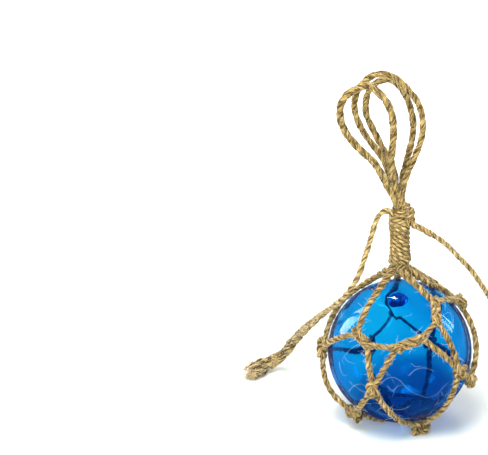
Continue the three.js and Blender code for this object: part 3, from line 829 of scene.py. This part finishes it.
# %% The cords from knot to knot
rng = np.random.default_rng(5)
net_lines = []
for azimuth, knot, off, passed in NECK_CORDS:
    stops = [neck_place(azimuth, -2.2 * MM)]
    stops += [on_ball(*place, CORD_LIES + off * MM) for place in passed]
    stops.append(knot_place(knot))
    line = [neck_place(azimuth, 3 * MM)[None]]
    for start, end in zip(stops, stops[1:]):
        line.append(over_glass(start, end, off / len(stops))[:-1])
    net_lines.append(smooth_line(np.vstack(line + [stops[-1][None]]), CORD_STEP))
for first, second, off in CORDS:
    net_lines.append(smooth_line(over_glass(knot_place(first), knot_place(second), off), CORD_STEP))
for first, second in DOUBLED:
    middle = over_glass(knot_place(first), knot_place(second))
    outward = unit(middle - BALL_CENTRE)
    across = unit(np.cross(outward, middle[-1] - middle[0]))
    for way in (-1, 1):
        net_lines.append(smooth_line(middle + across * way * DOUBLED_APART, CORD_STEP))
pole = on_ball(0, -90, BALL_RADIUS + 1.25 * MM)
for knot in CLOSING:
    net_lines.append(smooth_line(over_glass(knot_place(knot), pole, 0, 1.0 * MM), CORD_STEP))
net_parts = []
for line in net_lines:
    from_neck = far_along(line) / MM
    at_neck = np.exp(-((from_neck / NECK_SWELL_REACH) ** 2)) * (line[0][2] > NECK_BOTTOM)
    net_parts += laid_cord(line, NET_SIGHT, rng, swell=1 + NECK_SWELL * at_neck, loose=1.6)
    net_fuzz.append(fuzz_part(line, NET_SIGHT, rng, per_mm=2.0))
print(f"{len(net_lines)} cords in the net, {sum(map(length_of, net_lines)):.2f} m")


# %% The knots
SLIM_CORD, FULL_CORD = 2.6 * MM, 3.0 * MM


def knot_parts(name):
    """The turns of cord of one knot, and their line for the fibres."""
    (azimuth, latitude), lie, size = KNOTS[name]
    across_size, along_size, thickness = np.array(size) * MM
    place = on_ball(azimuth, latitude, BALL_RADIUS + GLASS_GAP + thickness / 2)
    outward = unit(place - BALL_CENTRE)
    sideways = unit(np.cross(UP, outward))
    downward = unit(np.cross(sideways, outward))
    turned = math.radians(lie)
    along = math.cos(turned) * downward + math.sin(turned) * sideways
    across = np.cross(along, outward)
    cord = SLIM_CORD if size == SLIM else FULL_CORD
    if size == SLIM:
        t = np.linspace(0, 1, 60)
        angle = 2 * np.pi * 1.75 * t + rng.uniform(0, 2)
        far = (t - 0.5) * (along_size - cord) * 0.85
        line = (place + np.outer(np.cos(angle) * (across_size - cord) / 2, across)
                + np.outer(np.sin(angle) * (thickness - cord) / 2, outward) + np.outer(far, along))
        line = even_line(line, FINE_STEP)
    else:
        spread = np.array([across_size, along_size, thickness]) * [1.12, 1.15, 1.05] - cord
        line = overhand_line(place, across, along, outward, spread)
    return laid_cord(line, cord, rng), line, cord


for name in KNOTS:
    parts, line, cord = knot_parts(name)
    net_parts += parts
    net_fuzz.append(fuzz_part(line, cord, rng, per_mm=1.4, longest=3))

# %% The closing knot under the ball
def coil(angle, reach, rise):
    """A line round the Z axis."""
    return np.stack([np.cos(angle) * reach, np.sin(angle) * reach, rise], 1)


angle = np.linspace(0, 4.4 * np.pi, 120)
spread = np.linspace(1.2, 4.9, 120) * MM
closing = coil(angle, spread, np.full(120, 1.05 * MM))
net_parts += laid_cord(even_line(closing, FINE_STEP), 2.0 * MM, rng)
for points, _, _ in net_parts:
    points[:] = outside_ball(points, 0.08 * MM)
net = piece_from("knotted_net", net_parts, net_jute)
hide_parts("net")
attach(net, "root")

# %% [markdown]
# ## The winding on the neck
# The same twine is wound nine times round the gathered cords, pulled tight turn on turn, and
# finished above with three crossing turns and a knot at the right. A helix of laid cord gives the
# turns, and slanting rings of it give the band above. The cords inside it are hidden, so a plain
# cylinder stands for them.

# %% The wound turns
WIND_CORD = 2.45 * MM
WIND_TURNS = 9
WIND_FLARE = 0.8 * MM  # of the lowest turns, which lie over the spreading cords
NECK_RADIUS = 5.3 * MM
NECK_LEAN = math.radians(2.2)
BAND_HEIGHT = 9.4 * MM
BAND_RADIUS = 4.8 * MM


def on_neck(points):
    """Points given along the neck's own axis, put on the leaning neck."""
    x, y, z = np.array(points, float).T
    return np.stack([
        NECK_SHIFT + x * math.cos(NECK_LEAN) - z * math.sin(NECK_LEAN), y,
        NECK_BOTTOM + x * math.sin(NECK_LEAN) + z * math.cos(NECK_LEAN),
    ], 1)


rng = np.random.default_rng(8)
turns = np.linspace(0, WIND_TURNS + 1.2, 560)
angle = 2 * np.pi * turns + 2.2
rise = WIND_CORD * (0.5 + turns * (WIND_TURNS - 0.6) / WIND_TURNS)
reach = NECK_RADIUS - WIND_CORD / 2 + WIND_FLARE * np.exp(-((rise / (4.5 * MM)) ** 2))
wind_line = even_line(on_neck(coil(angle, reach, rise)), 0.5 * MM)
wind_parts = laid_cord(wind_line, WIND_CORD * 1.1, rng, lay=2.1)
net_fuzz.append(fuzz_part(wind_line, WIND_CORD, rng, per_mm=1.2, longest=2.5))

# %% The crossing turns and the finishing knot
BAND_TURNS = ((40, -3.4, 0.0), (44, -0.4, 0.4), (33, 2.0, 0.9))  # slant, lift in mm, start
band_middle = WIND_TURNS * WIND_CORD + BAND_HEIGHT / 2
reach = BAND_RADIUS - WIND_CORD / 2 + 0.9 * MM
for slant, lift, start in BAND_TURNS:
    angle = np.linspace(0, 2 * np.pi, 60) + start
    rise = lift * MM + np.cos(angle) * reach * math.tan(math.radians(slant))
    ring_line = even_line(on_neck(coil(angle, reach, band_middle + rise)), FINE_STEP)
    wind_parts += laid_cord(ring_line, 2.7 * MM, rng, lay=2.5)
    net_fuzz.append(fuzz_part(ring_line, 2.3 * MM, rng, per_mm=1.4, longest=2.5))
top_knot = on_neck([[BAND_RADIUS + 0.1 * MM, -0.8 * MM, band_middle - 0.4 * MM]])[0]
tied = overhand_line(top_knot, np.array([0.9, -0.35, 0.0]), np.array([-0.1, 0, 1.0]),
                     np.array([0.35, 0.9, 0]), np.array([4.4, 8.2, 4.0]) * MM)
wind_parts += laid_cord(tied, 2.9 * MM, rng, lay=2.6)
net_fuzz.append(fuzz_part(tied, 2.5 * MM, rng, per_mm=1.6, longest=3))
TO_RIGHT = [(1.6, -2.4, 115.4), (4.4, -1.8, 112.4), (7.6, -1.6, 110.4), (11.2, -2, 108.7),
            (15.0, -2.9, 106.9)]  # where each tail comes out of the band
TO_LEFT = [(-4.6, -3.4, 117.6), (-6.6, -2.4, 118.6), (-9.6, -2.9, 118.9)]
wind_parts += laid_cord(smooth_line(np.array(TO_RIGHT) * MM, FINE_STEP), 3.3 * MM, rng, lay=3.6,
                        loose=1.5)
wind_parts += laid_cord(smooth_line(np.array(TO_LEFT) * MM, FINE_STEP), 2.9 * MM, rng)

# %% The core of the neck
core_height = WIND_TURNS * WIND_CORD + BAND_HEIGHT - 1.2 * MM
core_middle = on_neck([[0, 0, core_height / 2 + 0.6 * MM]])[0]
bpy.ops.mesh.primitive_cylinder_add(vertices=32, radius=NECK_RADIUS - WIND_CORD * 0.62,
                                    depth=core_height, location=core_middle)
core = settle("neck_core", (0, -NECK_LEAN, 0))
core.data.materials.append(loop_jute)
core.data.uv_layers[0].name = "along_cord"
whipping = piece_from("neck_winding", wind_parts, winding_jute)
for piece in (whipping, core):
    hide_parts("whipping")
    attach(piece, "root")

# %% [markdown]
# ## Hairs on the cords and on the glass
# The loose fibres made above become two pieces, those of the net and those of the free cords.
# More have come off the twine and lie on the glass in curls.

# %% The fibres that stand out of the cords
for name, parts, slot in (("net_hairs", net_fuzz, "net"), ("free_cord_hairs", free_fuzz, "tails")):
    hair = piece_from(name, parts, fibre_pale)
    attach(hair, "root")

# %% [markdown]
# The curls on the glass are drawn where the picture shows them. The camera's own numbers tell
# which place on the front of the ball shows at a pixel, so each curl is a few pixels of a line.

# %% The curls on the glass
PIXELS_PER_RADIUS = FOCAL_PIXELS * BALL_RADIUS / BALL_DISTANCE
seen_up = np.array([0, math.sin(LOOK_DOWN), math.cos(LOOK_DOWN)])
CURL_WIDTH, LOOSE_CURLS, LOOSE_CURL_WIDTH = 0.13 * MM, 45, 0.1 * MM
CURLS = [  # pixels
    [(382, 384), (386, 379), (394, 376), (401, 379), (406, 384), (412, 389), (419, 392), (428, 394),
     (436, 391), (442, 384), (447, 379)],
    [(360, 346), (353, 351), (347, 358), (345, 363), (347, 366)],
    [(342, 364), (343, 370), (346, 376), (350, 376)],
    [(389, 384), (394, 389), (398, 385), (403, 383)],
    [(384, 395), (389, 403), (397, 407), (406, 406), (412, 402)],
    [(440, 315), (446, 312), (449, 320), (446, 329), (443, 324)],
    [(444, 330), (449, 325), (450, 316), (446, 309)],
    [(409, 374), (415, 368), (424, 366), (433, 369)],
    [(352, 392), (357, 386), (365, 384), (371, 388)],
]


def seen_on_ball(pixel, distance):
    """The place over the ball's front that shows at a pixel."""
    across = (pixel[0] - BALL_PIXEL[0]) / PIXELS_PER_RADIUS
    up = (BALL_PIXEL[1] - pixel[1]) / PIXELS_PER_RADIUS
    towards_us = math.sqrt(max(0.02, 1 - across**2 - up**2))
    way = across * np.array([1.0, 0, 0]) + up * seen_up - towards_us * towards_ball
    return BALL_CENTRE + way * distance


curl_rng = np.random.default_rng(21)
curl_parts = []
for curl in CURLS:
    line = smooth_line([seen_on_ball(pixel, BALL_RADIUS + 0.25 * MM) for pixel in curl], 0.8 * MM)
    curl_parts.append(tubes_part(line[None], CURL_WIDTH, curl_rng))
for _ in range(LOOSE_CURLS):
    azimuth = curl_rng.uniform(-180, 180)
    latitude = math.degrees(math.asin(curl_rng.uniform(-0.7, 0.95)))
    turn_of, heading = curl_rng.uniform(-22, 22), curl_rng.uniform(0, 2 * math.pi)
    points = []
    for _ in range(curl_rng.integers(4, 9)):
        points.append(on_ball(azimuth, latitude, BALL_RADIUS + curl_rng.uniform(0.15, 0.5) * MM))
        heading += math.radians(turn_of + curl_rng.uniform(-25, 25))
        latitude = min(85, max(-60, latitude + 2.2 * math.sin(heading)))
        azimuth += 2.2 * math.cos(heading) / max(0.15, math.cos(math.radians(latitude)))
    line = smooth_line(points, 0.8 * MM)
    curl_parts.append(tubes_part(line[None], LOOSE_CURL_WIDTH, curl_rng))
# The curls are pale fibres. Their cyan colour is painted light: the blue that they catch from the
# glass.
curl_glass_lit = new_material("curl_glass_lit", {"Base Color": (0.55, 0.84, 0.95, 1), "Roughness": 0.6})[0]
curls = piece_from("curls_on_glass", curl_parts, curl_glass_lit)
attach(curls, "root")

# %% [markdown]
# ## The table and the light
# The picture was taken on a white table in soft light from all sides, and pale patches show in
# the glass. Three of the lights here only light, and the other three only show as patches in the
# glass, so that each can be set by itself. The table is a wide pale plane, which fills the whole
# picture.

# %% The table
bpy.ops.mesh.primitive_plane_add(size=8, location=(0, 1.5, 0))
table = settle("table_top")

# %% [markdown]
# Round the ball the table is lit almost by the lights alone, so that its shadows are real.
# Farther out it glows more and more, as a white sweep does that has lights of its own. In a
# studio dark cards keep the glare of a table off glass. Here a Light Path node does that: what
# mirrors the table sees a darker and bluer one. Rays that have come through glass also count as
# glossy ones, so they are taken out of the mask again.

# %% The white of the table
def mirror_mask(tree, at):
    """1 for a ray that was mirrored, and 0 for any other."""
    rays = new_node(tree, "ShaderNodeLightPath", at)
    mask = new_node(tree, "ShaderNodeMath", (at[0] + 200, at[1]), operation="SUBTRACT",
                    use_clamp=True)
    link_all(tree, [(rays, "Is Glossy Ray", mask, 0), (rays, "Is Transmission Ray", mask, 1)])
    return mask


white, tree, shader = new_material("white_table", {
    "Roughness": 0.9, "Specular IOR Level": 0.1, "Emission Color": (1, 1, 1, 1),
})
where = new_node(tree, "ShaderNodeTexCoord", (-1000, -300))
far_out = new_node(tree, "ShaderNodeVectorMath", (-800, -300), operation="LENGTH")
glow = new_node(tree, "ShaderNodeMapRange", (-600, -300),
                {"From Min": 0.12, "From Max": 0.55, "To Min": 0.1, "To Max": 0.87},
                interpolation_type="SMOOTHSTEP")
mirrored = mirror_mask(tree, (-1000, 200))
unmirrored = new_node(tree, "ShaderNodeMapRange", (-600, 200), {"To Min": 1.0, "To Max": 0.2})
table_colour = new_node(tree, "ShaderNodeMix", (-300, 200),
                        {"A": (0.86, 0.9, 0.85, 1), "B": (0.10, 0.16, 0.30, 1)}, data_type="RGBA")
dimmed = new_node(tree, "ShaderNodeMath", (-300, -200), operation="MULTIPLY")
link_all(tree, [
    (where, "Object", far_out, 0), (far_out, "Value", glow, "Value"),
    (mirrored, "Value", table_colour, "Factor"), (table_colour, "Result", shader, "Base Color"),
    (mirrored, "Value", unmirrored, "Value"), (unmirrored, "Result", dimmed, 0),
    (glow, "Result", dimmed, 1), (dimmed, "Value", shader, "Emission Strength"),
])
table.data.materials.append(white)


# %% The lights
def soft_light(name, place, size, watts, mirrored):
    """A rectangle of light that looks at the ball, and is only mirrored or only lights."""
    light = bpy.data.lights.new(name, "AREA")
    light.shape = "RECTANGLE"
    light.size, light.size_y = size
    light.energy = watts
    lamp = bpy.data.objects.new(name, light)
    lamp.location = place
    lamp.rotation_euler = (Vector((0, 0, 0.05)) - Vector(place)).to_track_quat("-Z", "Y").to_euler()
    lamp.visible_glossy = mirrored
    lamp.visible_diffuse = not mirrored
    bpy.context.collection.objects.link(lamp)


soft_light("front_light", (-0.25, -0.58, 1.2), (0.65, 0.65), 20, mirrored=False)
soft_light("low_light", (-0.2, -1.2, 0.45), (2.2, 1.0), 14, mirrored=False)
soft_light("rim_light", (0.1, 0.7, 1.3), (0.5, 0.5), 5, mirrored=False)
soft_light("seal_patch", (-0.29, 0.6, 1.15), (0.3, 0.4), 20, mirrored=True)
soft_light("left_patch", (-1.13, 0.49, 0.5), (0.42, 0.85), 17, mirrored=True)
soft_light("right_patch", (1.08, 0.42, 0.64), (0.3, 0.55), 8, mirrored=True)

# %% The light all round
# The sky is brighter behind the ball, and what the glass mirrors of it is bluer and dimmer.
world = bpy.data.worlds.new("studio")
world.use_nodes = True
sky = world.node_tree
background = sky.nodes["Background"]
direction = new_node(sky, "ShaderNodeTexCoord", (-800, 0))
parts_of = new_node(sky, "ShaderNodeSeparateXYZ", (-600, 0))
brighter_behind = new_node(sky, "ShaderNodeMapRange", (-400, 0), {
    "From Min": -0.6, "From Max": 0.5, "To Min": 0.22, "To Max": 0.5})
in_mirror = mirror_mask(sky, (-800, 300))
sky_colour = new_node(sky, "ShaderNodeMix", (-400, 300),
                      {"A": (1, 1, 1, 1), "B": (0.34, 0.38, 0.85, 1)}, data_type="RGBA")
link_all(sky, [
    (direction, "Generated", parts_of, "Vector"), (parts_of, "Y", brighter_behind, "Value"),
    (brighter_behind, "Result", background, "Strength"), (in_mirror, "Value", sky_colour, "Factor"),
    (sky_colour, "Result", background, "Color"),
])
bpy.context.scene.world = world
bpy.context.scene.view_settings.view_transform = "Standard"
